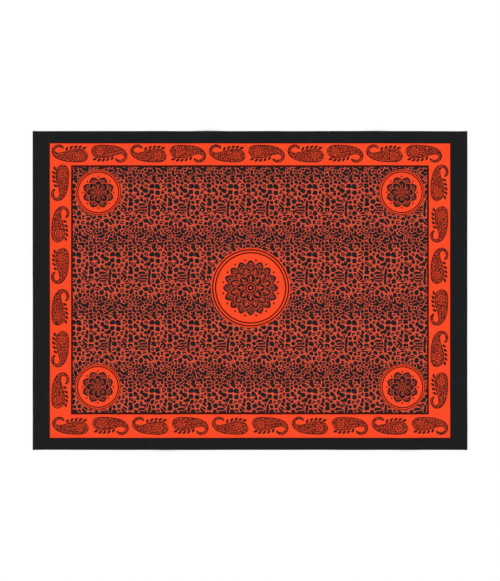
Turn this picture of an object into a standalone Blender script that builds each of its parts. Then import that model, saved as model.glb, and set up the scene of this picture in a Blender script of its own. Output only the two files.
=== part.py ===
"""A kanga wrap cloth laid out flat on a level surface.

The kanga is one rectangle of printed cotton. Its two long sides are woven selvedges. Its two cut ends
are turned under into narrow hems, so each end is a fold of the panel wrapped round the turned layers.
Units are metres and +Z is up. The origin is the middle of the rectangle, on the surface that it lies on,
with +X along the cloth's length.
"""

import math
from collections import namedtuple

import bmesh
import bpy

# The cloth.
LENGTH = 1.50  # along X, from fold to fold
WIDTH = 1.10  # along Y, from selvedge to selvedge
WALL = 0.0012  # thickness of the cloth's wall, and of the turned layers pressed flat
GAP = 0.0003  # between pieces that are sewn together

# The hems at the two cut ends.
HEM_WIDTH = 0.012  # along X, folded edge to folded edge
HEM_INSET = 0.001  # how far each end of a hem stays inside the selvedge
RISE_RUN = 0.010  # length over which the panel climbs from the surface onto a hem
FOLD_STEPS = 4  # facets in each quarter of a fold
RISE_STEPS = 4

# The printed layout: widths of the frames, from the edge inwards.
BORDER_X, BORDER_Y = 0.058, 0.040  # plain dark border
BAND_X, BAND_Y = 0.073, 0.078  # band of figures inside it

# Spacing of the panel's mesh.
CELL = 0.024

# Low ripples, which the laid cloth keeps. Each is a soft ridge: its middle, the length of its crest, the
# width across it, its height, the heading of its crest in degrees from +X, and how far the crest's ends
# bend sideways. Ripples reach the selvedges but die out before the hems, which lie flat.
Ripple = namedtuple("Ripple", "x y length width height heading bend")
RIPPLES = (
    Ripple(x=-0.40, y=0.30, length=0.56, width=0.17, height=0.0038, heading=24, bend=0.030),
    Ripple(x=-0.17, y=0.48, length=0.44, width=0.13, height=0.0044, heading=71, bend=-0.018),
    Ripple(x=0.12, y=0.17, length=0.92, width=0.20, height=0.0030, heading=-11, bend=0.065),
    Ripple(x=0.46, y=0.46, length=0.38, width=0.14, height=0.0048, heading=104, bend=0.020),
    Ripple(x=0.45, y=-0.04, length=0.48, width=0.16, height=0.0034, heading=38, bend=-0.028),
    Ripple(x=0.02, y=-0.31, length=0.86, width=0.18, height=0.0034, heading=6, bend=-0.055),
    Ripple(x=-0.51, y=-0.12, length=0.36, width=0.15, height=0.0032, heading=-32, bend=0.022),
    Ripple(x=-0.30, y=-0.50, length=0.44, width=0.14, height=0.0052, heading=97, bend=0.024),
    Ripple(x=0.55, y=-0.47, length=0.32, width=0.12, height=0.0040, heading=80, bend=-0.014),
    Ripple(x=-0.06, y=-0.06, length=0.50, width=0.22, height=0.0024, heading=57, bend=0.034),
)

# Colours as linear values.
BLACK_PRINT = (0.012, 0.013, 0.014)
ORANGE_PRINT = (0.860, 0.070, 0.024)
FIELD_PRINT = (0.175, 0.036, 0.026)  # dark spots on the orange ground, seen as one tone
COTTON_ROUGHNESS = 0.85


def hem_outer_x():
    """Where a hem's outer edge lies, inside the fold of the panel."""
    return LENGTH / 2 - WALL - GAP


def ripple_height(ripple, x, y):
    """Height that one ripple adds to the cloth above a point of the surface."""
    heading = math.radians(ripple.heading)
    dx = x - ripple.x
    dy = y - ripple.y
    along = (dx * math.cos(heading) + dy * math.sin(heading)) / (ripple.length / 2)
    across = -dx * math.sin(heading) + dy * math.cos(heading)
    across = (across - ripple.bend * along * along) / (ripple.width / 2)
    if abs(along) >= 1 or abs(across) >= 1:
        return 0.0
    return ripple.height * math.cos(along * math.pi / 2) ** 2 * math.cos(across * math.pi / 2) ** 2


def rest_height(x, y):
    """Height of the cloth's underside above the surface that it lies on."""
    return sum(ripple_height(ripple, x, y) for ripple in RIPPLES)


def spaced(stops):
    """The stops, with even steps of at most CELL between them."""
    stations = [stops[0]]
    for start, end in zip(stops, stops[1:]):
        steps = math.ceil((end - start) / CELL)
        stations += [start + (end - start) * step / steps for step in range(1, steps + 1)]
    return stations


def end_section():
    """(x, z) of the panel's underside at its +X end: up onto the hem, along it and down round the fold."""
    lift = WALL + GAP
    fold_radius = WALL / 2 + GAP
    fold_x = LENGTH / 2 - WALL - fold_radius
    foot_x = hem_outer_x() - HEM_WIDTH - GAP - RISE_RUN
    section = []
    for step in range(RISE_STEPS + 1):
        share = step / RISE_STEPS
        section.append((foot_x + RISE_RUN * share, lift * (1 - math.cos(math.pi * share)) / 2))
    for step in range(FOLD_STEPS + 1):
        angle = math.pi / 2 * step / FOLD_STEPS
        section.append((fold_x + fold_radius * math.sin(angle), lift - fold_radius * (1 - math.cos(angle))))
    section.append((fold_x + fold_radius, 0.0))
    return section


def panel_section():
    """(x, z) of the panel's underside from its -X fold to its +X fold."""
    right = end_section()
    left = [(-x, z) for x, z in reversed(right)]
    border = LENGTH / 2 - BORDER_X
    field = border - BAND_X
    stops = [left[-1][0], -border, -field, field, border, right[0][0]]
    middle = [(x, 0.0) for x in spaced(stops)]
    return left[:-1] + middle + right[1:]


def panel_rows():
    """Y of each row of the panel, from selvedge to selvedge."""
    edge = WIDTH / 2
    border = edge - BORDER_Y
    field = border - BAND_Y
    return spaced([-edge, -border, -field, field, border, edge])


def principled(name, colour):
    """A matt cotton material of one colour."""
    material = bpy.data.materials.new(name)
    material.use_nodes = True
    material.diffuse_color = (*colour, 1.0)
    shader = material.node_tree.nodes["Principled BSDF"]
    shader.inputs["Base Color"].default_value = (*colour, 1.0)
    shader.inputs["Roughness"].default_value = COTTON_ROUGHNESS
    shader.inputs["Metallic"].default_value = 0.0
    return material


def new_object(name, bm, collection):
    """A smooth-shaded object holding the bmesh."""
    mesh = bpy.data.meshes.new(name)
    bm.to_mesh(mesh)
    bm.free()
    mesh.shade_smooth()
    mesh.set_sharp_from_angle(angle=math.radians(40))
    obj = bpy.data.objects.new(name, mesh)
    collection.objects.link(obj)
    return obj


def lay_grid(bm, section, rows):
    """Gives a flat unit grid the section along X and the rows along Y, raised over the ripples."""
    bmesh.ops.create_grid(bm, x_segments=len(section) - 1, y_segments=len(rows) - 1, size=0.5)
    for vertex in bm.verts:
        x, z = section[round((vertex.co.x + 0.5) * (len(section) - 1))]
        y = rows[round((vertex.co.y + 0.5) * (len(rows) - 1))]
        vertex.co = (x, y, z + rest_height(x, y))


def print_zone(point):
    """Index of the printed zone at a point of the panel: 0 border, 1 band, 2 field."""
    border = min(LENGTH / 2 - BORDER_X - abs(point.x), WIDTH / 2 - BORDER_Y - abs(point.y))
    field = min(
        LENGTH / 2 - BORDER_X - BAND_X - abs(point.x), WIDTH / 2 - BORDER_Y - BAND_Y - abs(point.y)
    )
    return int(border > 0) + int(field > 0)


def cloth_panel(collection):
    """The whole printed rectangle: an open surface on its underside, thickened upwards."""
    bm = bmesh.new()
    lay_grid(bm, panel_section(), panel_rows())
    for face in bm.faces:
        face.material_index = print_zone(face.calc_center_median())
    panel = new_object("cloth_panel", bm, collection)
    panel.data.materials.append(principled("black_print", BLACK_PRINT))
    panel.data.materials.append(principled("orange_print", ORANGE_PRINT))
    panel.data.materials.append(principled("field_print", FIELD_PRINT))
    wall = panel.modifiers.new("wall", "SOLIDIFY")
    wall.thickness = WALL
    wall.offset = 1.0
    wall.use_even_offset = True
    return panel


def hem(name, side, collection):
    """The layers turned under one cut end: a flat strip whose long edges are folds. side is -1 or 1."""
    bm = bmesh.new()
    bmesh.ops.create_cube(bm, size=1.0)
    bmesh.ops.scale(bm, vec=(HEM_WIDTH, WIDTH - 2 * HEM_INSET, WALL), verts=bm.verts)
    long_edges = [edge for edge in bm.edges if edge.verts[0].co.y * edge.verts[1].co.y < 0]
    bmesh.ops.bevel(
        bm,
        geom=long_edges,
        offset=WALL / 2 * 0.98,
        segments=FOLD_STEPS,
        profile=0.5,
        affect="EDGES",
        clamp_overlap=True,
    )
    strip = new_object(name, bm, collection)
    strip.data.materials.append(principled(name, BLACK_PRINT))
    strip.location = (side * (hem_outer_x() - HEM_WIDTH / 2), 0.0, WALL / 2)
    return strip


def main():
    for obj in list(bpy.data.objects):
        bpy.data.objects.remove(obj, do_unlink=True)
    collection = bpy.data.collections.new("kanga_cloth")
    bpy.context.scene.collection.children.link(collection)
    cloth_panel(collection)
    hem("hem_left", -1, collection)
    hem("hem_right", 1, collection)


main()
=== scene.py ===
"""A kanga wrap cloth laid out flat on a pale floor, seen from straight above.

The cloth is one closed shell. Its printed face is a flat design that is cut into the mesh, zone by zone
and spot by spot, and then laid over the same low ripples as the CAD panel. Lengths are in metres. On the
flat design, x runs along the cloth from the middle and y across it.
"""
import math
import random
from collections import namedtuple

import bmesh
import bpy
import numpy as np
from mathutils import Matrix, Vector
from mathutils.geometry import delaunay_2d_cdt


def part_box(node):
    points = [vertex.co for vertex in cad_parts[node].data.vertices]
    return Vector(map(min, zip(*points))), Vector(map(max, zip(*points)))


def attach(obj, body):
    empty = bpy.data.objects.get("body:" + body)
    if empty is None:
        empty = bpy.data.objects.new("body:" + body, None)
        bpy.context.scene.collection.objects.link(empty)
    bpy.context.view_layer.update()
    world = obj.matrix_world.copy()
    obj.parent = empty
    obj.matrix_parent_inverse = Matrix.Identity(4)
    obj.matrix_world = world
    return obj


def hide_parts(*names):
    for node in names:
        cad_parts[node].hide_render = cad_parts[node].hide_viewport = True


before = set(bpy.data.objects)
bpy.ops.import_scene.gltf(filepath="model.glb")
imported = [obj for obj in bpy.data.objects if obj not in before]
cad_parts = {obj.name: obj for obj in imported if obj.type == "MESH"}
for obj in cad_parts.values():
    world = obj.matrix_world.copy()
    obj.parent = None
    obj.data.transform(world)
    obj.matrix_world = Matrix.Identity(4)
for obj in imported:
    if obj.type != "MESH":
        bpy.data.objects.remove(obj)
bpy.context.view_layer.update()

MM = 0.001

# ---- Sizes of the cloth ----

panel_low, panel_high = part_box("cloth_panel")
hem_low, hem_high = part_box("hem_right")

LENGTH = panel_high.x - panel_low.x
WIDTH = panel_high.y - panel_low.y
HEM_WIDTH = hem_high.x - hem_low.x
HEM_LENGTH = hem_high.y - hem_low.y

CLOTH = 0.5 * MM  # thickness of one layer
PLY_GAP = 0.1 * MM  # air between layers that are pressed together
TURNED = 2 * CLOTH + PLY_GAP  # the two layers turned under at a hem
RISE_RUN = 9 * MM  # length over which the cloth climbs onto a hem
SELVEDGE = 7 * MM  # width of the denser woven edge
STITCH_LINE = HEM_WIDTH - 2.2 * MM  # from the fold to the row of stitches

# The ripples of part.py, each a soft ridge: its middle, the length of its crest, its width and height,
# the heading of its crest in degrees from +X and how far the crest's ends bend sideways.
Ripple = namedtuple("Ripple", "x y length width height heading bend")
RIPPLES = (
    Ripple(-0.40, 0.30, 0.56, 0.17, 0.0038, 24, 0.030),
    Ripple(-0.17, 0.48, 0.44, 0.13, 0.0044, 71, -0.018),
    Ripple(0.12, 0.17, 0.92, 0.20, 0.0030, -11, 0.065),
    Ripple(0.46, 0.46, 0.38, 0.14, 0.0048, 104, 0.020),
    Ripple(0.45, -0.04, 0.48, 0.16, 0.0034, 38, -0.028),
    Ripple(0.02, -0.31, 0.86, 0.18, 0.0034, 6, -0.055),
    Ripple(-0.51, -0.12, 0.36, 0.15, 0.0032, -32, 0.022),
    Ripple(-0.30, -0.50, 0.44, 0.14, 0.0052, 97, 0.024),
    Ripple(0.55, -0.47, 0.32, 0.12, 0.0040, 80, -0.014),
    Ripple(-0.06, -0.06, 0.50, 0.22, 0.0024, 57, 0.034),
)

SWELL = 0.9 * MM  # height of the faint unevenness between the ripples
WANDER = 0.4 * MM  # how far the cloth strays sideways from its true rectangle

# ---- Layout of the print ----

Box = namedtuple("Box", "left bottom right top")
BAND = Box(left=-0.6904, bottom=-0.5081, right=0.6907, top=0.5075)  # orange, inside the black border
FRAME = Box(left=-0.6174, bottom=-0.4275, right=0.6172, top=0.4322)  # dark line round the spotted field
FRAME_LINE = 6.2 * MM
OVERPRINT = 3.5 * MM  # where the border's black runs a little over the orange


def grown(box, by):
    return Box(box.left - by, box.bottom - by, box.right + by, box.top + by)


FIELD = grown(FRAME, -FRAME_LINE)

# Round medallions: dark rings by their inner and outer radius, the radius of the plain ground that parts
# the medallion from the spots, and how many sides its circles are drawn with.
Medallion = namedtuple("Medallion", "x y rings edge sides")
CENTRE = Medallion(x=0.0021, y=0.0091, rings=((0.1188, 0.1233), (0.1288, 0.1335)), edge=0.1372, sides=96)
CORNER = Medallion(x=0.0, y=0.0, rings=((0.0685, 0.0723), (0.0754, 0.0782)), edge=0.0796, sides=64)
CORNER_PLACES = ((-0.5236, 0.3384), (0.5237, 0.3388), (-0.5250, -0.3329), (0.5259, -0.3337))
MEDALLIONS = (CENTRE, *(CORNER._replace(x=x, y=y) for x, y in CORNER_PLACES))

# Runs of figures along the band: where the first one's middle is, the step to the next, how many, and
# the turn of the figure in degrees.
Run = namedtuple("Run", "x y dx dy count turn")
RUNS = (
    Run(-0.6215, 0.4725, 0.1357, 0.0, 10, 0),
    Run(-0.6195, -0.4670, 0.1378, 0.0, 10, 0),
    Run(-0.6550, 0.3715, 0.0, -0.1433, 6, 90),
    Run(0.6535, 0.3715, 0.0, -0.1433, 6, -90),
)

# The spotted print repeats in tiles. Each tile has a belt of fine, dense spots and coarse ones elsewhere.
TILE_X = (FIELD.right - FIELD.left) / 9  # nine tiles along the field
TILE_Y = 0.235
TILE_LEFT = -0.709  # lower left corner of the first tile
TILE_BOTTOM = 0.178 - 3 * TILE_Y
BELT = 0.031  # half the height of the fine belt, which the tile's lower edge runs along
BELT_SWAY = 7 * MM  # how far the belt's edges sway
BELT_FADE = 14 * MM  # height over which fine spots give way to coarse ones

# The materials of the cloth by number: inks of the printed face, then the zones of the reverse.
SPOT_INK, FIGURE_INK, ROSETTE_INK, BORDER_INK, OVERLAP_INK, SELVEDGE_INK = range(6)
GROUND, FLECKED_GROUND, SPECKLED, DARK_SPECKLED = range(6, 10)
REVERSE_BORDER, REVERSE_GROUND, REVERSE_SPOTS = range(10, 13)


# ---- Outlines ----


def rectangle(box):
    return [(box.left, box.bottom), (box.right, box.bottom), (box.right, box.top), (box.left, box.top)]


def polar(x, y, radius, turn):
    return x + radius * math.cos(turn), y + radius * math.sin(turn)


def circle(x, y, radius, sides):
    return [polar(x, y, radius, 2 * math.pi * side / sides) for side in range(sides)]


def apart(a, b):
    """Distance between two points."""
    return math.hypot(a[0] - b[0], a[1] - b[1])


def part_way(a, b, share, steps=1):
    """The point at share / steps of the way from a to b."""
    return a[0] + (b[0] - a[0]) * share / steps, a[1] + (b[1] - a[1]) * share / steps


def sides_of(outline):
    """Each side of the outline as its two ends."""
    return zip(outline, outline[1:] + outline[:1])


def area(outline):
    """Signed area, positive where the outline runs anticlockwise."""
    return sum(a[0] * b[1] - b[0] * a[1] for a, b in sides_of(outline)) / 2


def middle(outline):
    return sum(x for x, _ in outline) / len(outline), sum(y for _, y in outline) / len(outline)


def moved(outline, dx, dy, turn=0.0):
    """The outline turned by an angle in radians, then shifted."""
    c, s = math.cos(turn), math.sin(turn)
    return [(dx + x * c - y * s, dy + x * s + y * c) for x, y in outline]


def resized(outline, share_x, share_y):
    """The outline scaled about its own middle."""
    cx, cy = middle(outline)
    return [(cx + (x - cx) * share_x, cy + (y - cy) * share_y) for x, y in outline]


def cut_back(outline, nx, ny, limit):
    """The part of the outline where nx * x + ny * y is at most the limit."""
    kept = []
    for start, end in sides_of(outline):
        a = nx * start[0] + ny * start[1] - limit
        b = nx * end[0] + ny * end[1] - limit
        if a <= 0:
            kept.append(start)
        if (a < 0 < b) or (b < 0 < a):
            kept.append(part_way(start, end, a / (a - b)))
    return kept


def within(outline, box):
    """The part of the outline inside the box."""
    for nx, ny, limit in ((1, 0, box.right), (-1, 0, -box.left), (0, 1, box.top), (0, -1, -box.bottom)):
        outline = cut_back(outline, nx, ny, limit)
        if len(outline) < 3:
            return []
    return outline


def without_short_sides(outline, shortest):
    """The outline less each point that is nearer than this to the one before it."""
    points = []
    for point in outline:
        if not points or apart(point, points[-1]) > shortest:
            points.append(point)
    while len(points) > 3 and apart(points[0], points[-1]) < shortest:
        points.pop()
    return points


def rounded(outline, share):
    """The outline with each corner cut off once, by a share of the sides that meet there."""
    points = []
    for start, end in sides_of(outline):
        points += [part_way(start, end, share), part_way(end, start, share)]
    return points


def uneven(outline, rng, depth):
    """The outline with each point drawn in towards the middle by up to the given share."""
    centre = middle(outline)
    return [part_way(centre, point, 1 - depth * rng.random()) for point in outline]


def stepped(outline, longest):
    """The outline with its long sides cut into even steps, so that they follow the cloth's rise and fall."""
    points = []
    for start, end in sides_of(outline):
        steps = max(1, math.ceil(apart(start, end) / longest))
        points += [part_way(start, end, step, steps) for step in range(steps)]
    return points


def strip(start, end, start_half, end_half):
    """A straight bar between two points, with half its width at each end."""
    length = apart(start, end)
    nx, ny = (start[1] - end[1]) / length, (end[0] - start[0]) / length
    corners = ((start, -start_half), (end, -end_half), (end, end_half), (start, start_half))
    return [(x + nx * half, y + ny * half) for (x, y), half in corners]


# ---- The leopard spots ----

COARSE_PITCH = 14.5 * MM  # usual least distance between the middles of coarse spots
FINE_PITCH = 8.5 * MM
PITCH_SPREAD = (0.80, 1.18)  # least and greatest share of it for one spot
COARSE_LANE = 2.8 * MM  # orange lane between coarse spots
FINE_LANE = 1.65 * MM
LANE_SPREAD = (0.2, 1.5)  # least and greatest share of it for one spot
COARSE_NECKS = 0.12  # share of close neighbours that are joined
FINE_NECKS = 0.20
FINE_PAIR = 24 * MM  # neighbours whose pitches add up to less than this count as fine
NECK_OVERLAP = 1.6 * MM
CLOSE = 0.72  # neighbours nearer than this share of their pitches' sum
CELL_REACH = 1.6  # how far a spot reaches at the most, in its own pitches
CELL_SIGHT = 4  # how far it looks for neighbours, in its own pitches
SHORTEST_SIDE = 0.2  # of a spot's outline, as a share of its pitch
THROWS = 9000
SPOT_RANDOM = 9  # starts the draws for the tile

# Strokes of each tile, from its lower left corner: small spots that run together in a row. The first is a
# long upright dash, and the others are short bars beside it.
Stroke = namedtuple("Stroke", "x y dx dy count")
STROKE_PITCH = 7.4 * MM
STROKE_SWAY = 0.9 * MM  # how far the spots of a stroke stray from its line
SPOT_PHASE = 2.4  # of the sway, from spot to spot
STROKE_PHASE = 1.7  # and from stroke to stroke
STROKES = (
    Stroke(0.0900, 0.0837, 0.0003, 0.0074, 7),
    Stroke(0.0590, 0.0905, 0.0076, 0.0006, 3),
    Stroke(0.0545, 0.0990, 0.0078, -0.0004, 4),
    Stroke(0.0620, 0.1078, 0.0076, 0.0008, 3),
    Stroke(0.0560, 0.1165, 0.0078, 0.0003, 3),
)

# Places of each tile where the spots run together, with the radius in millimetres.
Patch = namedtuple("Patch", "x y radius")
PATCHES = (
    Patch(0.089, 0.167, 10.2),
    Patch(0.131, 0.124, 9.6),
    Patch(0.043, 0.066, 10.8),
    Patch(0.016, 0.142, 9.0),
    Patch(0.088, 0.072, 7.8),
    Patch(0.118, 0.050, 10.2),
    Patch(0.010, 0.006, 11.7),
    Patch(0.040, -0.012, 10.8),
    Patch(0.062, 0.012, 9.9),
    Patch(0.093, -0.006, 11.7),
    Patch(0.121, 0.014, 10.8),
    Patch(0.022, -0.027, 9.0),
    Patch(0.110, -0.024, 9.9),
    Patch(0.076, 0.029, 9.0),
    Patch(0.033, 0.031, 9.0),
)

# How many coarse spots in a hundred are of each kind.
SPOT_KINDS = {"solid": 52, "hollow": 7, "notched": 19, "split": 14, "dash": 8}
HEART = 0.21  # radius of a spot's opening, as a share of its size
HEART_SIDES = 6
HEART_UNEVEN = 0.45  # how far an outline's points are drawn in, as a share of the way to its middle
COARSE_UNEVEN = 0.16
FINE_UNEVEN = 0.14
CORNER_CUT = 0.24
NOTCH = (0.9 * MM, 2.6 * MM)  # half width of a notch at the spot's middle and at its rim
SPLIT = (0.8 * MM, 1.9 * MM)  # the same for each arm of a split

# The two dashes that a spot may be made of, as shares of its length, height and size.
Dash = namedtuple("Dash", "length height up")
LOW_DASH = Dash(length=0.98, height=0.50, up=-0.22)
HIGH_DASH = Dash(length=0.72, height=0.38, up=0.32)
DASH_SLIP = 0.15  # how far the high one slips to either side, as a share of the spot's size
SMALLEST_SPOT = 0.5 * MM * MM

Seed = namedtuple("Seed", "x y pitch lane stroke")


def from_belt(y):
    """Distance from the middle of the nearest fine belt, for a height inside the tile."""
    return min(y % TILE_Y, TILE_Y - y % TILE_Y)


def tile_gap(a, b):
    """Shift from a to the nearest copy of b in the repeating print."""
    dx = (b.x - a.x + TILE_X / 2) % TILE_X - TILE_X / 2
    dy = (b.y - a.y + TILE_Y / 2) % TILE_Y - TILE_Y / 2
    return dx, dy


def stroke_seeds():
    """The seeds of the strokes, each with the number of its stroke."""
    seeds = []
    for number, stroke in enumerate(STROKES):
        length = math.hypot(stroke.dx, stroke.dy)
        for index in range(stroke.count):
            sway = STROKE_SWAY * math.sin(SPOT_PHASE * index + STROKE_PHASE * number)
            x = stroke.x + stroke.dx * index - sway * stroke.dy / length
            y = stroke.y + stroke.dy * index + sway * stroke.dx / length
            seeds.append(Seed(x, y, STROKE_PITCH, FINE_LANE, number))
    return seeds


def spot_seeds(rng):
    """Middles of the spots in one tile: thrown at random, and kept where they aren't too close."""
    seeds = stroke_seeds()
    for _ in range(THROWS):
        x, y = rng.uniform(0, TILE_X), rng.uniform(0, TILE_Y)
        edge = BELT + BELT_SWAY * math.sin(2 * math.pi * x / TILE_X)
        blend = min(1.0, max(0.0, (from_belt(y) - edge) / BELT_FADE))
        pitch = (FINE_PITCH + (COARSE_PITCH - FINE_PITCH) * blend) * rng.uniform(*PITCH_SPREAD)
        lane = (FINE_LANE + (COARSE_LANE - FINE_LANE) * blend) * rng.uniform(*LANE_SPREAD)
        seed = Seed(x, y, pitch, lane, None)
        if all(math.hypot(*tile_gap(seed, other)) > (pitch + other.pitch) / 2 for other in seeds):
            seeds.append(seed)
    return seeds


def same_patch(a, b):
    """Whether both seeds are in one of the tile's dark patches."""
    for patch in PATCHES:
        if all(math.hypot(*tile_gap(patch, seed)) < patch.radius * MM for seed in (a, b)):
            return True
    return False


def run_together(a, b, rng):
    """Whether two neighbouring seeds' spots are joined: along a stroke, in a patch, or now and then."""
    if None not in (a.stroke, b.stroke):
        return a.stroke == b.stroke
    necks = FINE_NECKS if a.pitch + b.pitch < FINE_PAIR else COARSE_NECKS
    return same_patch(a, b) or rng.random() < necks


def joined_pairs(seeds, rng):
    """The pairs of neighbouring seeds whose spots run together, each in both orders."""
    pairs = set()
    for index, seed in enumerate(seeds):
        for other in seeds[index + 1 :]:
            close = math.hypot(*tile_gap(seed, other)) < CLOSE * (seed.pitch + other.pitch)
            if close and run_together(seed, other, rng):
                pairs |= {(seed, other), (other, seed)}
    return pairs


def spot_cell(seed, seeds, joined):
    """The seed's own patch of ground, less half the lane between it and each neighbour."""
    reach = CELL_REACH * seed.pitch
    cell = rectangle(Box(seed.x - reach, seed.y - reach, seed.x + reach, seed.y + reach))
    for other in seeds:
        dx, dy = tile_gap(seed, other)
        gap = math.hypot(dx, dy)
        if other is seed or gap > CELL_SIGHT * seed.pitch:
            continue
        nx, ny = dx / gap, dy / gap
        share = seed.pitch / (seed.pitch + other.pitch)
        lane = -NECK_OVERLAP if (seed, other) in joined else seed.lane
        cell = cut_back(cell, nx, ny, nx * seed.x + ny * seed.y + gap * share - lane / 2)
    return cell


def coarse_spot(cell, rng):
    """Layers of one coarse spot: solid, hollow, notched, split in two, or two dashes."""
    size = math.sqrt(abs(area(cell)))
    cx, cy = middle(cell)
    turn = rng.uniform(0, 2 * math.pi)
    edge, far = polar(cx, cy, size, turn), polar(cx, cy, -size, turn)
    kind = rng.choices(tuple(SPOT_KINDS), tuple(SPOT_KINDS.values()))[0]
    if kind == "dash":
        low = moved(resized(cell, LOW_DASH.length, LOW_DASH.height), 0.0, LOW_DASH.up * size)
        slip = rng.uniform(-DASH_SLIP, DASH_SLIP) * size
        high = moved(resized(cell, HIGH_DASH.length, HIGH_DASH.height), slip, HIGH_DASH.up * size)
        return [(SPOT_INK, low), (SPOT_INK, high)]
    layers = [(SPOT_INK, cell)]
    heart = circle(cx + rng.uniform(-1, 1) * MM, cy + rng.uniform(-1, 1) * MM, HEART * size, HEART_SIDES)
    if kind in ("hollow", "notched"):
        layers.append((FLECKED_GROUND, uneven(heart, rng, HEART_UNEVEN)))
    if kind == "notched":
        layers.append((FLECKED_GROUND, strip((cx, cy), edge, *NOTCH)))
    if kind == "split":
        layers.append((FLECKED_GROUND, strip(far, (cx, cy), *reversed(SPLIT))))
        layers.append((FLECKED_GROUND, strip((cx, cy), edge, *SPLIT)))
    return layers


def spot_tile():
    """Layers of one tile: dark spots, then the orange openings cut into them."""
    rng = random.Random(SPOT_RANDOM)
    seeds = spot_seeds(rng)
    joined = joined_pairs(seeds, rng)
    dark, openings = [], []
    for seed in seeds:
        cell = without_short_sides(spot_cell(seed, seeds, joined), SHORTEST_SIDE * seed.pitch)
        if len(cell) < 3:
            continue
        if seed.pitch > (FINE_PITCH + COARSE_PITCH) / 2:
            layers = coarse_spot(rounded(uneven(cell, rng, COARSE_UNEVEN), CORNER_CUT), rng)
        else:
            layers = [(SPOT_INK, uneven(cell, rng, FINE_UNEVEN))]
        dark += [layer for layer in layers if layer[0] == SPOT_INK]
        openings += [layer for layer in layers if layer[0] != SPOT_INK]
    return dark + openings


def under_medallion(outline):
    """Whether one of the medallions covers the whole outline."""
    return any(all(apart(point, (m.x, m.y)) < m.edge for point in outline) for m in MEDALLIONS)


def spotted_field():
    """The tile repeated over the field, trimmed to it and left out under the medallions."""
    tile = spot_tile()
    layers = []
    columns = math.ceil((FIELD.right - TILE_LEFT) / TILE_X) + 1
    lines = math.ceil((FIELD.top - TILE_BOTTOM) / TILE_Y) + 1
    for column in range(-1, columns):
        for row in range(-1, lines):
            dx = TILE_LEFT + column * TILE_X
            dy = TILE_BOTTOM + row * TILE_Y
            for ink, outline in tile:
                placed = within(moved(outline, dx, dy), FIELD)
                shows = len(placed) > 2 and abs(area(placed)) >= SMALLEST_SPOT
                if shows and not under_medallion(placed):
                    layers.append((ink, placed))
    return layers


# ---- Figures: paisleys for the band, rosettes for the medallions ----


def between(before, start, end, after, t):
    """The value at share t of the way from start to end, on a Catmull-Rom curve through four values."""
    bend = 2 * before - 5 * start + 4 * end - after
    twist = 3 * start - before - 3 * end + after
    return 0.5 * (2 * start + (end - before) * t + bend * t * t + twist * t**3)


def through(points, steps):
    """The rows of a table with a smooth run of rows between each two, over all its columns."""
    rows = [points[0], *points, points[-1]]
    run = []
    for near in zip(rows, rows[1:], rows[2:], rows[3:]):
        for step in range(steps):
            run.append(tuple(between(*values, step / steps) for values in zip(*near)))
    return run + [tuple(points[-1])]


SLIMMEST = 0.6 * MM  # half width of a ribbon where it ends


def ribbon(spine, inset):
    """Outline round a spine of (x, y, half width) rows, drawn in by the inset."""
    rows = [row for row in spine if row[2] - inset > SLIMMEST]
    left, right = [], []
    for index, (x, y, half) in enumerate(rows):
        ahead, behind = rows[min(index + 1, len(rows) - 1)], rows[max(index - 1, 0)]
        length = apart(ahead, behind)
        nx = (behind[1] - ahead[1]) / length * (half - inset)
        ny = (ahead[0] - behind[0]) / length * (half - inset)
        left.append((x + nx, y + ny))
        right.append((x - nx, y - ny))
    return left + right[::-1]


# The paisley's spine from its round end to its curled tip, in millimetres.
Spine = namedtuple("Spine", "x y half")
PAISLEY = (
    Spine(62.0, -5.0, 3.0),
    Spine(57.0, -6.0, 14.0),
    Spine(45.0, -7.0, 21.5),
    Spine(27.0, -7.0, 23.5),
    Spine(8.0, -8.0, 22.0),
    Spine(-11.0, -10.0, 18.5),
    Spine(-28.0, -10.0, 14.5),
    Spine(-43.0, -7.0, 10.5),
    Spine(-54.0, 1.0, 7.5),
    Spine(-57.0, 12.0, 5.6),
    Spine(-51.0, 22.0, 5.0),
    Spine(-39.0, 26.5, 5.0),
    Spine(-28.0, 24.0, 4.4),
    Spine(-22.0, 17.5, 2.6),
)
PAISLEY_LINE = 2.8 * MM  # width of its outline
PAISLEY_GAP = 1.3 * MM  # plain ground round it

# Rings of an eye from the outside in. On a rosette, each radius is a share of the eye's own.
EyeRing = namedtuple("EyeRing", "ink radius sides")
PAISLEY_EYE = (31 * MM, -7 * MM)
PAISLEY_EYE_RINGS = (
    EyeRing(GROUND, 10.2 * MM, 24),
    EyeRing(FIGURE_INK, 8.2 * MM, 20),
    EyeRing(GROUND, 4.6 * MM, 14),
    EyeRing(FIGURE_INK, 2.6 * MM, 10),
)
ROSETTE_EYE_RINGS = (
    EyeRing(GROUND, 1.08, 28),
    EyeRing(ROSETTE_INK, 1.0, 28),
    EyeRing(GROUND, 0.70, 24),
    EyeRing(ROSETTE_INK, 0.58, 20),
    EyeRing(GROUND, 0.22, 10),
)

# The beads along the paisley's body and the leaves along its back, in millimetres and degrees.
Bead = namedtuple("Bead", "x y radius")
BEADS = (
    Bead(13, -8, 3.4),
    Bead(0, -9.5, 3.0),
    Bead(-12, -10.5, 2.6),
    Bead(-23, -10.5, 2.2),
    Bead(-33, -9.5, 1.9),
)
BEAD_LINE = 1.6  # how far a bead's dark disc reaches past its radius, in millimetres
BEAD_HEART = 0.8  # radius of its bare heart, as a share of the bead's
Leaf = namedtuple("Leaf", "x y turn")
LEAVES = (Leaf(-14, 9, 62), Leaf(0, 14, 52), Leaf(14, 17, 42), Leaf(28, 18, 32), Leaf(42, 16.5, 18))
LEAF_LENGTH = 17 * MM
LEAF_HALF = 4.4 * MM

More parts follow.
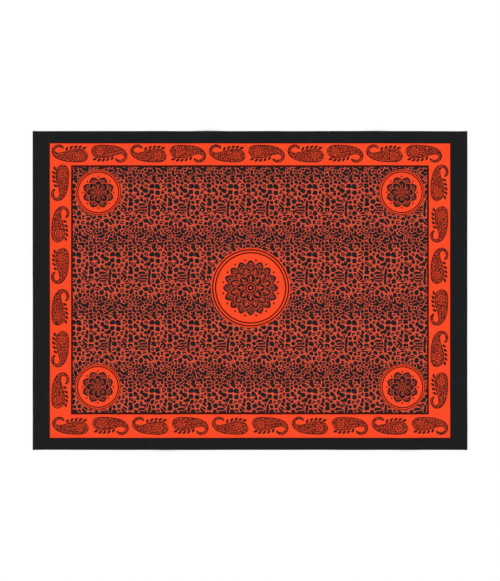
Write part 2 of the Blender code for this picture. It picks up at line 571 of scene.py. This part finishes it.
# Half widths along a leaf and a petal, as (share of the length, share of the greatest half width).
LEAF_SHAPE = ((0.0, 0.0), (0.14, 0.56), (0.32, 0.92), (0.5, 1.0), (0.68, 0.84), (0.86, 0.45), (1.0, 0.0))
PETAL_SHAPE = ((0.0, 0.34), (0.18, 0.70), (0.38, 0.97), (0.56, 1.0), (0.74, 0.82), (0.89, 0.48), (1.0, 0.0))
PETAL_TIP = 2.6  # how much shorter a petal is, as a multiple of how far it is drawn in


def eye(place, rings, size=1.0):
    return [(ring.ink, circle(*place, ring.radius * size, ring.sides)) for ring in rings]


def leaf(x, y, length, half, turn):
    """A pointed oval with its stalk end at a point."""
    run = list(LEAF_SHAPE) + [(u, -v) for u, v in reversed(LEAF_SHAPE[1:-1])]
    return moved([(u * length, v * half) for u, v in run], x, y, turn)


def paisley():
    """One paisley, 125 mm long: a speckled body with an eye and beads, and leaves along its back."""
    fine, spine = ([[size * MM for size in row] for row in through(PAISLEY, steps)] for steps in (4, 2))
    layers = []
    for x, y, turn in LEAVES:
        layers.append((FIGURE_INK, leaf(x * MM, y * MM, LEAF_LENGTH, LEAF_HALF, math.radians(turn))))
    layers.append((GROUND, ribbon(spine, -PAISLEY_GAP)))
    layers.append((FIGURE_INK, ribbon(fine, 0.0)))
    layers.append((SPECKLED, ribbon(spine, PAISLEY_LINE)))
    layers += eye(PAISLEY_EYE, PAISLEY_EYE_RINGS)
    for x, y, radius in BEADS:
        layers.append((FIGURE_INK, circle(x * MM, y * MM, (radius + BEAD_LINE) * MM, sides=12)))
        layers.append((GROUND, circle(x * MM, y * MM, BEAD_HEART * radius * MM, sides=9)))
    return layers


def figure_runs():
    """The paisleys along the band. Every other one is turned half round."""
    figure = paisley()
    layers = []
    for run in RUNS:
        for index in range(run.count):
            turn = math.radians(run.turn + 180 * (index % 2))
            x, y = run.x + run.dx * index, run.y + run.dy * index
            layers += [(ink, moved(outline, x, y, turn)) for ink, outline in figure]
    return layers


def petal(ring, turn, inset):
    """A pointed petal of the ring, round the origin, drawn in by the inset."""
    length = ring.outer - ring.inner - PETAL_TIP * inset
    near = [(ring.inner + inset + u * length, (ring.half - inset) * v) for u, v in PETAL_SHAPE]
    far = [(x, -y) for x, y in reversed(near[:-1])]
    return moved(near + far, 0.0, 0.0, turn)


# A ring of petals: how many, their inner and outer radius, half width, the first one's turn, the width
# of their outline and the half width of the bare vein, if they have one. A rosette has rings, outermost
# first, the radius of its eye, and a round of dots between the outer tips.
Ring = namedtuple("Ring", "count inner outer half start line vein")
Rosette = namedtuple("Rosette", "rings eye dots_at dot")
CENTRE_ROSETTE = Rosette(
    rings=(
        Ring(16, 0.050, 0.096, 0.0160, 0.0, 0.0040, 0.0),
        Ring(12, 0.030, 0.074, 0.0160, 15.0, 0.0042, 0.0018),
        Ring(8, 0.012, 0.050, 0.0160, 0.0, 0.0075, 0.0022),
    ),
    eye=0.020,
    dots_at=0.0965,
    dot=3.6 * MM,
)
CORNER_ROSETTE = Rosette(
    rings=(
        Ring(8, 0.018, 0.056, 0.0170, 22.5, 0.0040, 0.0),
        Ring(8, 0.008, 0.041, 0.0130, 0.0, 0.0066, 0.0),
    ),
    eye=0.0125,
    dots_at=0.0535,
    dot=3.0 * MM,
)
PETAL_GAP = 1.1 * MM  # plain ground round a petal
VEIN_START = 0.38  # where a vein starts and how long it is, as shares of the petal's length
VEIN_LENGTH = 0.48


def petal_ring(ring):
    """A ring of outlined petals with speckled middles."""
    layers = []
    for index in range(ring.count):
        turn = math.radians(ring.start + 360 * index / ring.count)
        for ink, inset in ((GROUND, -PETAL_GAP), (ROSETTE_INK, 0.0), (DARK_SPECKLED, ring.line)):
            layers.append((ink, petal(ring, turn, inset)))
        if ring.vein:
            length = VEIN_LENGTH * (ring.outer - ring.inner)
            place = polar(0, 0, ring.inner + VEIN_START * (ring.outer - ring.inner), turn)
            layers.append((GROUND, leaf(*place, length, ring.vein, turn)))
    return layers


def rosette_layers(rosette):
    layers = []
    for ring in rosette.rings:
        layers += petal_ring(ring)
    layers += eye((0, 0), ROSETTE_EYE_RINGS, rosette.eye)
    outer = rosette.rings[0]
    for index in range(outer.count):
        turn = math.radians(outer.start + 360 * (index + 0.5) / outer.count)
        place = polar(0, 0, rosette.dots_at, turn)
        layers.append((ROSETTE_INK, circle(*place, rosette.dot, sides=9)))
    return layers


def medallions():
    layers = []
    for medallion in MEDALLIONS:
        place = (medallion.x, medallion.y)
        layers.append((GROUND, circle(*place, medallion.edge, medallion.sides)))
        for inner, outer in reversed(medallion.rings):
            layers.append((OVERLAP_INK, circle(*place, outer, medallion.sides)))
            layers.append((GROUND, circle(*place, inner, medallion.sides)))
        figure = rosette_layers(CENTRE_ROSETTE if medallion is CENTRE else CORNER_ROSETTE)
        layers += [(ink, moved(outline, *place)) for ink, outline in figure]
    return layers


def print_layers():
    """The whole design as (ink, outline) layers, each over the ones before it."""
    layers = [
        (OVERLAP_INK, rectangle(grown(BAND, OVERPRINT))),
        (GROUND, rectangle(BAND)),
        (OVERLAP_INK, rectangle(FRAME)),
        (FLECKED_GROUND, rectangle(FIELD)),
    ]
    return layers + spotted_field() + medallions() + figure_runs()


# ---- The form of the laid cloth ----

CURVE_STEPS = 6  # points along each curve of an end's section
END_LIFT = 0.05 * MM  # of the cloth's outer edge over the floor


def end_section():
    """(x, z) of the cloth's underside at the +X end: up onto the hem, along it and down round the fold."""
    lift = TURNED + PLY_GAP
    radius = TURNED / 2 + PLY_GAP
    fold_x = LENGTH / 2 - CLOTH - radius
    foot_x = LENGTH / 2 - CLOTH - HEM_WIDTH - RISE_RUN
    climb = np.linspace(0, 1, CURVE_STEPS)
    rise = [(foot_x + RISE_RUN * u, lift * (1 - math.cos(math.pi * u)) / 2) for u in climb]
    level = [(x, lift) for x in np.linspace(foot_x + RISE_RUN, fold_x, CURVE_STEPS)[1:-1]]
    turns = np.linspace(0, math.pi / 2, CURVE_STEPS)
    fold = [(fold_x + radius * math.sin(turn), lift - radius * (1 - math.cos(turn))) for turn in turns]
    return rise + level + fold + [(fold_x + radius, END_LIFT)]


SECTION = np.array([(-x, z) for x, z in reversed(end_section())] + end_section())
STATION = np.concatenate([[0.0], np.cumsum(np.hypot(*np.diff(SECTION, axis=0).T))])
STATION -= STATION[-1] / 2  # distance along the cloth from its middle
TANGENT = np.gradient(SECTION, STATION, axis=0)
TANGENT /= np.linalg.norm(TANGENT, axis=1)[:, None]
HALF_LENGTH = STATION[-1]


WAVES = 9  # summed in each smooth random field
WAVE_HEIGHT = 1.7  # of the sum, where all its waves meet at their tops


def smooth_field(x, y, seed, shortest, longest):
    """A smooth random field of about -1 to 1: a sum of waves whose lengths lie between the two given."""
    rng = np.random.default_rng(seed)
    total = np.zeros_like(x)
    for _ in range(WAVES):
        turn, phase = rng.uniform(0, 2 * np.pi, 2)
        number = 2 * np.pi / rng.uniform(shortest, longest)
        total += np.sin(number * np.cos(turn) * x + number * np.sin(turn) * y + phase)
    return total * (WAVE_HEIGHT / WAVES)


def ripple_height(x, y):
    total = np.zeros_like(x)
    for ripple in RIPPLES:
        heading = math.radians(ripple.heading)
        dx, dy = x - ripple.x, y - ripple.y
        along = (dx * math.cos(heading) + dy * math.sin(heading)) / (ripple.length / 2)
        across = -dx * math.sin(heading) + dy * math.cos(heading)
        across = (across - ripple.bend * along * along) / (ripple.width / 2)
        along, across = np.clip(along, -1, 1), np.clip(across, -1, 1)
        total += ripple.height * np.cos(along * np.pi / 2) ** 2 * np.cos(across * np.pi / 2) ** 2
    return total


SWELL_FADE = 0.06  # length over which the swell dies away towards a hem


def lie(x, y):
    """Height of the cloth's underside over the floor, apart from what the hems add."""
    swell = smooth_field(x, y, seed=3, shortest=0.05, longest=0.21)
    free = np.clip((LENGTH / 2 - HEM_WIDTH - RISE_RUN - np.abs(x)) / SWELL_FADE, 0, 1)
    return ripple_height(x, y) + SWELL * (swell + 1) / 2 * free


def laid(s, t, height):
    """Points and normals of the laid cloth, for distances along and across it and a height in its wall."""
    x, z = (np.interp(s, STATION, column) for column in SECTION.T)
    tx, tz = (np.interp(s, STATION, column) for column in TANGENT.T)
    slope_x = (lie(x + MM, t) - lie(x - MM, t)) / (2 * MM)
    slope_y = (lie(x, t + MM) - lie(x, t - MM)) / (2 * MM)
    normals = np.stack([-tz - slope_x * tx, -slope_y * tx, tx], axis=1)
    normals /= np.linalg.norm(normals, axis=1)[:, None]
    points = np.stack([x, t, z + lie(x, t)], axis=1) + normals * height
    return points + sideways(x, t), normals


def sideways(x, y):
    """How far each point of the cloth strays from its place in the true rectangle."""
    dx, dy = (WANDER * smooth_field(x, y, seed, shortest=0.16, longest=0.5) for seed in (21, 22))
    return np.stack([dx, dy, np.zeros_like(dx)], axis=1)


# ---- The cloth's mesh ----

FACE_CELL = 18 * MM  # spacing of plain mesh points on the printed face
LONGEST_EDGE = 12 * MM  # of an ink's outline
BACK_CELL = 20 * MM
REVERSE_SIDES = 48  # of a medallion's circle on the reverse

# What delaunay_2d_cdt is asked for: which triangles, and how near two points are to be one.
HULL_TRIANGLES = 0
INSIDE_TRIANGLES = 1
FACE_NEAR = 2e-6
BACK_NEAR = 1e-7


def stations(cell):
    """Distances along the cloth: even steps over its length and each station of the end sections."""
    ends = STATION[: len(STATION) // 2]
    middle_steps = math.ceil(2 * -ends[-1] / cell)
    inner = np.linspace(ends[-1], -ends[-1], middle_steps + 1)[1:-1]
    return np.concatenate([ends, inner, -ends[::-1]])


def rows(cell):
    """Distances across the cloth, from selvedge to selvedge."""
    steps = math.ceil((WIDTH - 2 * SELVEDGE) / cell)
    inner = np.linspace(-WIDTH / 2 + SELVEDGE, WIDTH / 2 - SELVEDGE, steps + 1)
    return np.concatenate([[-WIDTH / 2], inner, [WIDTH / 2]])


def between_spots(x, y):
    """Whether a point of the flat print is in the spotted field, clear of the medallions."""
    inside = FIELD.left < x < FIELD.right and FIELD.bottom < y < FIELD.top
    return inside and not under_medallion([(x, y)])


def add_outlines(points, faces, layers):
    """Adds each layer's outline to the points and faces to be cut, anticlockwise and in short steps."""
    for _, outline in layers:
        start = len(points)
        ordered = outline if area(outline) > 0 else outline[::-1]
        points += [Vector(point) for point in stepped(ordered, LONGEST_EDGE)]
        faces.append(list(range(start, len(points))))


def printed_side(layers):
    """Cuts the flat cloth along every outline: its points, triangles and the ink of each triangle."""
    across = rows(FACE_CELL)
    points = [Vector((s, t)) for s in stations(FACE_CELL) for t in across if not between_spots(s, t)]
    faces = []
    add_outlines(points, faces, layers)
    found = delaunay_2d_cdt(points, [], faces, HULL_TRIANGLES, FACE_NEAR, True)
    flat = np.array([tuple(point) for point in found[0]])
    triangles = np.array(found[2])
    inks = np.array([layers[max(origin)][0] if origin else BORDER_INK for origin in found[5]])
    from_middle = np.abs(flat[triangles][:, :, 1]).mean(axis=1)
    inks[from_middle > WIDTH / 2 - SELVEDGE] = SELVEDGE_INK
    return flat, triangles, inks


def kanga_cloth(layers, materials):
    """The cloth as one closed shell: the printed face, the reverse and the thin edge between them."""
    face_flat, face_triangles, inks = printed_side(layers)
    outside = boundary(face_triangles)
    back_flat, back_triangles, back_inks = reverse_side(face_flat, outside)
    first = len(face_flat)
    after = [first + (index + 1) % len(outside) for index in range(len(outside))]
    rim = [(a, first + index, after[index], b) for index, (a, b) in enumerate(outside)]

    face_points, face_normals = laid(face_flat[:, 0], face_flat[:, 1], CLOTH)
    back_points, back_normals = laid(back_flat[:, 0], back_flat[:, 1], 0.0)
    everything = face_triangles.tolist() + (back_triangles[:, ::-1] + first).tolist() + rim
    mesh = bpy.data.meshes.new("kanga_cloth")
    mesh.from_pydata(np.vstack([face_points, back_points]).tolist(), [], everything)
    for material in materials:
        mesh.materials.append(material)
    chosen = np.concatenate([inks, back_inks, np.full(len(rim), SELVEDGE_INK)])
    mesh.polygons.foreach_set("material_index", chosen.astype(np.int32))
    mesh.shade_smooth()
    bake_map(mesh, np.vstack([face_flat, back_flat]), len(face_triangles), len(back_triangles))
    mesh.normals_split_custom_set_from_vertices(np.vstack([face_normals, -back_normals]).tolist())
    return link("kanga_cloth", mesh)


def boundary(triangles):
    """The outer edges of a mesh of triangles as (start, end) pairs, in order round it."""
    sides = set()
    for a, b, c in triangles.tolist():
        sides |= {(a, b), (b, c), (c, a)}
    following = {start: end for start, end in sides if (end, start) not in sides}
    start = min(following)
    loop = [start]
    while following[loop[-1]] != start:
        loop.append(following[loop[-1]])
    return list(sides_of(loop))


def reverse_side(face_flat, outside):
    """Points, triangles and inks of the reverse. Its first points are those round the printed face's edge."""
    points = [Vector(face_flat[start]) for start, _ in outside]
    faces = [list(range(len(points)))]
    across = rows(BACK_CELL)[1:-1]
    points += [Vector((s, t)) for s in stations(BACK_CELL)[1:-1] for t in across]
    zones = [(REVERSE_GROUND, rectangle(BAND)), (REVERSE_SPOTS, rectangle(FIELD))]
    zones += [(REVERSE_GROUND, circle(m.x, m.y, m.edge, REVERSE_SIDES)) for m in MEDALLIONS]
    add_outlines(points, faces, zones)
    found = delaunay_2d_cdt(points, [], faces, INSIDE_TRIANGLES, BACK_NEAR, True)
    flat = np.array([tuple(point) for point in found[0]])
    found_at = {origin: index for index, origins in enumerate(found[3]) for origin in origins}
    first = [found_at[index] for index in range(len(outside))]
    order = first + sorted(set(range(len(flat))) - set(first))
    place = np.argsort(order)
    inks = [REVERSE_BORDER] + [ink for ink, _ in zones]
    return flat[order], place[np.array(found[2])], np.array([inks[max(origin)] for origin in found[5]])


FACE_SHARE = 0.70  # of the bake map's height, for the printed face
MAP_GAP = 0.01  # of its height, left between the two sides


def bake_map(mesh, flat, face_count, back_count):
    """A flat map named OFBake: the printed face above, the reverse below."""
    corners = np.zeros(len(mesh.loops), np.int32)
    mesh.loops.foreach_get("vertex_index", corners)
    u = flat[corners, 0] / (2 * HALF_LENGTH) + 0.5
    v = flat[corners, 1] / WIDTH + 0.5
    places = np.stack([u, 1 - FACE_SHARE + v * FACE_SHARE], axis=1)
    back = slice(3 * face_count, 3 * (face_count + back_count))
    places[back, 1] = v[back] * (1 - FACE_SHARE - MAP_GAP)
    layer = mesh.uv_layers.new(name="OFBake")
    layer.data.foreach_set("uv", places.astype(np.float32).ravel())


def link(name, mesh):
    obj = bpy.data.objects.new(name, mesh)
    bpy.context.scene.collection.objects.link(obj)
    return obj


# ---- Hems and stitches ----

LOWER_EDGE = 0.4 * MM  # from the hem's outer side to the edge of its lower layer
UPPER_EDGE = 0.9 * MM  # and to that of its upper layer
LAYER_STEPS = (0.25, 0.5, 0.75, 1.0)  # points across a layer, as shares of its width
TURN_STEPS = 7
HEM_LANES = 140  # points along a hem
LAYER_WALL = 0.96 * CLOTH  # a little thin, so that the layers stay clear of each other

STITCH_PITCH = 3.1 * MM
STITCH_LENGTH = 2.5 * MM
STITCH_STRAY = 0.12  # millimetres that a stitch strays to either side of its row
ROW_SPARE = 8 * MM  # of the cloth's width that the row leaves free, both ends together
STITCH_RANDOM = 31  # starts the draws for a row, with its side added
THREAD = 0.42 * MM
THREAD_SIDES = 6
THREAD_TAPER = 0.25  # how much thinner it is at a stitch's ends, as a share
STITCH_RINGS = 5
HUMP_TOP = 0.42  # height of a stitch's middle over the cloth, in threads
HUMP_FALL = 0.62  # how much lower its ends are, in threads


def piece_from(bm, name, material):
    mesh = bpy.data.meshes.new(name)
    bm.to_mesh(mesh)
    bm.free()
    mesh.shade_smooth()
    mesh.materials.append(material)
    return link(name, mesh)


def hem(name, side, material):
    """The two layers turned under at one end: a strip of cloth folded along its inner edge."""
    half = CLOTH / 2
    fold = HEM_WIDTH - CLOTH
    inner_turn = TURNED / 2 - half
    path = [(LOWER_EDGE, half)]
    path += [(fold * u, half) for u in LAYER_STEPS]
    for turn in np.linspace(0, math.pi, TURN_STEPS)[1:-1]:
        path.append((fold + inner_turn * math.sin(turn), half + inner_turn * (1 - math.cos(turn))))
    path += [(fold * u, TURNED - half) for u in reversed(LAYER_STEPS)]
    path.append((UPPER_EDGE, TURNED - half))
    outer_x = LENGTH / 2 - CLOTH - PLY_GAP
    bm = bmesh.new()
    lanes = []
    for y in np.linspace(-HEM_LENGTH / 2, HEM_LENGTH / 2, HEM_LANES):
        shift = sideways(np.array([side * outer_x]), np.array([y]))[0]
        lanes.append([bm.verts.new((side * (outer_x - x) + shift[0], y + shift[1], z)) for x, z in path])
    for lane, ahead in zip(lanes, lanes[1:]):
        for index in range(len(path) - 1):
            corners = (lane[index], lane[index + 1], ahead[index + 1], ahead[index])
            bm.faces.new(corners if side > 0 else corners[::-1])
    strip_of_cloth = piece_from(bm, name, material)
    wall = strip_of_cloth.modifiers.new("wall", "SOLIDIFY")
    wall.thickness = LAYER_WALL
    wall.offset = 0.0
    return strip_of_cloth


def stitches(name, side, material):
    """One row of lockstitch along a hem: short humps of thread that dip into the cloth at both ends."""
    bm = bmesh.new()
    count = int((WIDTH - ROW_SPARE) / STITCH_PITCH)
    rng = random.Random(STITCH_RANDOM + side)
    s = side * (HALF_LENGTH - STITCH_LINE)
    for index in range(count):
        t = (index - (count - 1) / 2) * STITCH_PITCH
        stray = rng.uniform(-STITCH_STRAY, STITCH_STRAY) * MM
        rings = []
        for u in np.linspace(-1, 1, STITCH_RINGS):
            along = t + u * STITCH_LENGTH / 2
            lift = CLOTH + THREAD * (HUMP_TOP - HUMP_FALL * u * u)
            points, _ = laid(np.array([s + stray]), np.array([along]), lift)
            half = THREAD / 2 * (1 - THREAD_TAPER * u * u)
            turns = np.linspace(0, 2 * math.pi, THREAD_SIDES, endpoint=False)
            around = [Vector((half * math.cos(turn), 0.0, half * math.sin(turn))) for turn in turns]
            rings.append([bm.verts.new(Vector(points[0]) + offset) for offset in around])
        for ring, ahead in zip(rings, rings[1:]):
            for a in range(THREAD_SIDES):
                b = (a + 1) % THREAD_SIDES
                bm.faces.new((ring[a], ring[b], ahead[b], ahead[a]))
        bm.faces.new(rings[0][::-1])
        bm.faces.new(rings[-1])
    bmesh.ops.recalc_face_normals(bm, faces=bm.faces)
    return piece_from(bm, name, material)


# ---- Materials ----

ORANGE = (0.857, 0.0600, 0.0150)
FIELD_ORANGE = (0.780, 0.0890, 0.0410)
BLACK = (0.0078, 0.0083, 0.0092)
SPOT_BLACK = (0.0115, 0.0095, 0.0105)
FIGURE_BLACK = (0.0380, 0.0070, 0.0050)
ROSETTE_BLACK = (0.0160, 0.0085, 0.0085)
MAROON = (0.0380, 0.0022, 0.0012)
FADED_ORANGE = (0.70, 0.115, 0.052)
FADED_BLACK = (0.040, 0.038, 0.040)
FLOOR = (0.90, 0.90, 0.90)
WHITE = (1.0, 1.0, 1.0)
NONE = (0.0, 0.0, 0.0)

# Unevenness of the cloth: how many features a metre has along x, y and z, and its share of the whole.
Unevenness = namedtuple("Unevenness", "scale detail roughness share")
UNEVENNESS = (
    Unevenness((14.0, 420.0, 1.0), 3.0, 0.7, 0.40),  # streaks of the yarns along x
    Unevenness((420.0, 12.0, 1.0), 3.0, 0.7, 0.34),  # streaks of the yarns along y
    Unevenness((24.0, 24.0, 1.0), 4.0, 0.6, 0.26),  # mottling of the dye
)
YARN_PITCH = 0.55 * MM
TONE_STOPS = (0.36, 0.5, 0.64)  # unevenness at an ink's dark, plain and light tone
WEAVE_PAINTED_SHADE = 0.12  # how much painted shade and light the weave adds to the tone: darker in its hollows, lighter on its crests
YARN_RELIEF = 3.0  # relief of the unevenness against that of the weave
WORN_RANGE = (0.35, 0.65)  # unevenness over which the cloth goes from rougher to smoother
ROUGHER = 0.07
SMOOTHER = 0.06
FLECK_EDGE = 0.04  # softness of a fleck's edge, as a share of the flecks' pitch
FLECK_DETAIL = 0.9  # features of the flecks' ragged edges to each pitch
FLECK_RAGGED = 1.6  # how far they shift the flecks, in pitches


def fill(node, values):
    for socket, value in values.items():
        node.inputs[socket].default_value = value


class Nodes:
    """Adds and joins the shader nodes of a material or a world, its owner."""

    def __init__(self, owner, shader="Principled BSDF"):
        owner.use_nodes = True
        self.owner = owner
        self.tree = owner.node_tree
        self.shader = self.tree.nodes[shader]

    def add(self, kind, **settings):
        node = self.tree.nodes.new(kind)
        for key, value in settings.items():
            setattr(node, key, value)
        return node

    def join(self, source, target):
        self.tree.links.new(source, target)

    def math(self, operation, a, b=0.0):
        node = self.add("ShaderNodeMath", operation=operation)
        for socket, value in zip(node.inputs, (a, b)):
            if isinstance(value, (int, float)):
                socket.default_value = value
            else:
                self.join(value, socket)
        return node.outputs[0]

    def ranged(self, value, start, end, to_start, to_end):
        """The value, which runs from start to end, made to run from to_start to to_end."""
        node = self.add("ShaderNodeMapRange")
        fill(node, {"From Min": start, "From Max": end, "To Min": to_start, "To Max": to_end})
        self.join(value, node.inputs["Value"])
        return node.outputs["Result"]

    def parts(self, place):
        """The x, y and z of one of the texture coordinates."""
        node = self.add("ShaderNodeSeparateXYZ")
        self.join(self.add("ShaderNodeTexCoord").outputs[place], node.inputs["Vector"])
        return node.outputs

    def stretched(self, scale):
        """The cloth's own coordinates, scaled along each axis."""
        mapping = self.add("ShaderNodeMapping")
        fill(mapping, {"Scale": scale})
        self.join(self.add("ShaderNodeTexCoord").outputs["Object"], mapping.inputs["Vector"])
        return mapping.outputs["Vector"]

    def ramp(self, factor, stops):
        node = self.add("ShaderNodeValToRGB")
        first, last = node.color_ramp.elements
        first.position, last.position = stops[0][0], stops[-1][0]
        first.color, last.color = (*stops[0][1], 1.0), (*stops[-1][1], 1.0)
        for position, colour in stops[1:-1]:
            node.color_ramp.elements.new(position).color = (*colour, 1.0)
        self.join(factor, node.inputs["Fac"])
        return node.outputs["Color"]


def cloth_yarns(nodes):
    """Unevenness of the yarns and the dye, about 0 to 1."""
    total = 0.0
    for layer in UNEVENNESS:
        noise = nodes.add("ShaderNodeTexNoise")
        fill(noise, {"Scale": 1.0, "Detail": layer.detail, "Roughness": layer.roughness})
        nodes.join(nodes.stretched(layer.scale), noise.inputs["Vector"])
        total = nodes.math("ADD", total, nodes.math("MULTIPLY", noise.outputs["Fac"], layer.share))
    return total


def weave_height(nodes):
    """Plain weave: the rise and fall of crossing threads."""
    parts = nodes.parts("Object")
    across = nodes.math("SINE", nodes.math("MULTIPLY", parts["X"], math.pi / YARN_PITCH))
    along = nodes.math("SINE", nodes.math("MULTIPLY", parts["Y"], math.pi / YARN_PITCH))
    return nodes.math("MULTIPLY", nodes.math("MULTIPLY", across, along), 0.5)


def cotton(name, colour, tones, roughness, sheen=0.03, relief=0.10 * MM):
    """Printed cotton in one ink: three tones of it follow the yarns, painted shade darkens the weave's
    hollows and painted light brightens its crests, and the surface follows the weave.
    """
    nodes = Nodes(bpy.data.materials.new(name))
    shader = nodes.shader
    yarns = cloth_yarns(nodes)
    weave = weave_height(nodes)
    # painted shade and light: the weave's hollows are made darker and its crests lighter in the colour, on
    # top of the yarns' random tone
    yarn_tone_and_weave_shade = nodes.math("ADD", yarns, nodes.math("MULTIPLY", weave, WEAVE_PAINTED_SHADE))
    stops = [(stop, [channel * share for channel in colour]) for stop, share in zip(TONE_STOPS, tones)]
    nodes.join(nodes.ramp(yarn_tone_and_weave_shade, stops), shader.inputs["Base Color"])
    worn = nodes.ranged(yarns, *WORN_RANGE, roughness + ROUGHER, roughness - SMOOTHER)
    nodes.join(worn, shader.inputs["Roughness"])
    bump = nodes.add("ShaderNodeBump")
    fill(bump, {"Strength": 0.55, "Distance": relief})
    nodes.join(nodes.math("ADD", weave, nodes.math("MULTIPLY", yarns, YARN_RELIEF)), bump.inputs["Height"])
    nodes.join(bump.outputs["Normal"], shader.inputs["Normal"])
    fill(shader, {"Specular IOR Level": 0.08, "Sheen Weight": sheen, "Sheen Roughness": 0.55})
    return nodes


def speckled_cotton(name, ground, fleck, pitch, size, roughness):
    """Printed cotton with small ragged flecks of a second ink, whose reach is a share of their pitch."""
    nodes = cotton(name, ground, (0.88, 1.0, 1.10), roughness)
    place = nodes.add("ShaderNodeTexCoord").outputs["Object"]
    ragged = nodes.add("ShaderNodeTexNoise")
    fill(ragged, {"Scale": FLECK_DETAIL / pitch, "Detail": 1.0})
    nodes.join(place, ragged.inputs["Vector"])
    shift = nodes.add("ShaderNodeVectorMath", operation="MULTIPLY_ADD")
    nodes.join(ragged.outputs["Color"], shift.inputs[0])
    shift.inputs[1].default_value = (FLECK_RAGGED * pitch, FLECK_RAGGED * pitch, 0.0)
    nodes.join(place, shift.inputs[2])
    cells = nodes.add("ShaderNodeTexVoronoi", voronoi_dimensions="2D")
    fill(cells, {"Scale": 1 / pitch, "Randomness": 0.9})
    nodes.join(shift.outputs["Vector"], cells.inputs["Vector"])
    flecks = nodes.ramp(cells.outputs["Distance"], ((size - FLECK_EDGE, WHITE), (size + FLECK_EDGE, NONE)))
    colour = nodes.shader.inputs["Base Color"]
    mix = nodes.add("ShaderNodeMix", data_type="RGBA")
    nodes.join(flecks, mix.inputs["Factor"])
    nodes.join(colour.links[0].from_socket, mix.inputs["A"])
    fill(mix, {"B": (*fleck, 1.0)})
    nodes.join(mix.outputs["Result"], colour)
    return nodes


def print_materials():
    """The cloth's materials in the order of their numbers. The dyes show paler on the reverse."""
    inks = (
        cotton("spot_ink", SPOT_BLACK, (0.8, 1.0, 1.5), 0.84),
        cotton("figure_ink", FIGURE_BLACK, (0.8, 1.0, 1.5), 0.84),
        cotton("rosette_ink", ROSETTE_BLACK, (0.8, 1.0, 1.5), 0.84),
        cotton("border_ink", BLACK, (0.8, 1.0, 1.35), 0.82),
        cotton("overlap_ink", MAROON, (0.8, 1.0, 1.3), 0.84),
        cotton("selvedge_ink", BLACK, (0.7, 1.0, 1.6), 0.78, relief=0.16 * MM),
        cotton("orange_print", ORANGE, (0.90, 1.0, 1.07), 0.86),
        speckled_cotton("flecked_ground", FIELD_ORANGE, SPOT_BLACK, 2.7 * MM, 0.28, 0.86),
        speckled_cotton("speckled_ink", FIGURE_BLACK, ORANGE, 3.9 * MM, 0.31, 0.85),
        speckled_cotton("dark_speckled_ink", ROSETTE_BLACK, FIELD_ORANGE, 3.4 * MM, 0.27, 0.85),
        cotton("reverse_border", FADED_BLACK, (0.85, 1.0, 1.2), 0.88),
        cotton("reverse_orange", FADED_ORANGE, (0.9, 1.0, 1.1), 0.88),
        speckled_cotton("reverse_spots", FADED_ORANGE, FADED_BLACK, 19 * MM, 0.43, 0.88),
    )
    return [ink.owner for ink in inks]


# ---- Floor, light and camera ----

FRAME_HEIGHT = 581  # pixels of the picture's long side
METRES_PER_PIXEL = 0.0034515  # so that the cloth's length is 434.6 of those pixels
LENS = 85.0
SENSOR = 36.0

FLOOR_SIZE = 120.0
FLOOR_DROP = 0.02 * MM

# The sky's strength by the height of the direction, from 0 at the horizon to 1 overhead.
PALE_UP_TO = 0.25
SKY_FROM = 0.45
HORIZON_STRENGTH = 1.0
SKY_STRENGTH = 0.608
SUN_STRENGTH = 1.85
SUN_ANGLE = math.radians(32)
SUN_TURN = (math.radians(24), math.radians(-30), 0.0)


def studio_floor():
    bpy.ops.mesh.primitive_plane_add(size=FLOOR_SIZE, location=(0, 0, -FLOOR_DROP))
    floor = bpy.context.object
    floor.name = "floor"
    nodes = Nodes(bpy.data.materials.new("floor_paint"))
    fill(nodes.shader, {"Base Color": (*FLOOR, 1.0), "Roughness": 0.9, "Specular IOR Level": 0.0})
    floor.data.materials.append(nodes.owner)


def studio_light():
    """Soft light from all round, white near the horizon and less bright overhead, and one soft sun."""
    nodes = Nodes(bpy.data.worlds.new("studio"), "Background")
    fill(nodes.shader, {"Color": (*WHITE, 1.0)})
    up = nodes.parts("Generated")["Z"]
    strength = nodes.ranged(up, PALE_UP_TO, SKY_FROM, HORIZON_STRENGTH, SKY_STRENGTH)
    nodes.join(strength, nodes.shader.inputs["Strength"])
    bpy.context.scene.world = nodes.owner
    light = bpy.data.lights.new("softbox", "SUN")
    light.energy = SUN_STRENGTH
    light.angle = SUN_ANGLE
    sun = bpy.data.objects.new("softbox", light)
    sun.rotation_euler = SUN_TURN
    bpy.context.scene.collection.objects.link(sun)


def overhead_camera():
    data = bpy.data.cameras.new("overhead")
    data.lens = LENS
    data.sensor_width = SENSOR
    camera = bpy.data.objects.new("overhead", data)
    camera.location = (0.0, 0.0, FRAME_HEIGHT * METRES_PER_PIXEL * LENS / SENSOR)
    bpy.context.scene.collection.objects.link(camera)
    bpy.context.scene.camera = camera


# ---- Assembly ----

overhead_camera()
studio_floor()
studio_light()
bpy.context.scene.view_settings.view_transform = "Standard"

inks = print_materials()
thread = cotton("thread", BLACK, (1.2, 1.8, 2.6), 0.6, sheen=0.1).owner

cloth = kanga_cloth(print_layers(), inks)
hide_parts("cloth_panel")
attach(cloth, "root")

for side, label in ((-1, "left"), (1, "right")):
    turned = hem(f"hem_{label}_turned", side, inks[BORDER_INK])
    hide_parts(f"hem_{label}")
    row = stitches(f"stitches_{label}", side, thread)
    for piece in (turned, row):
        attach(piece, "root")
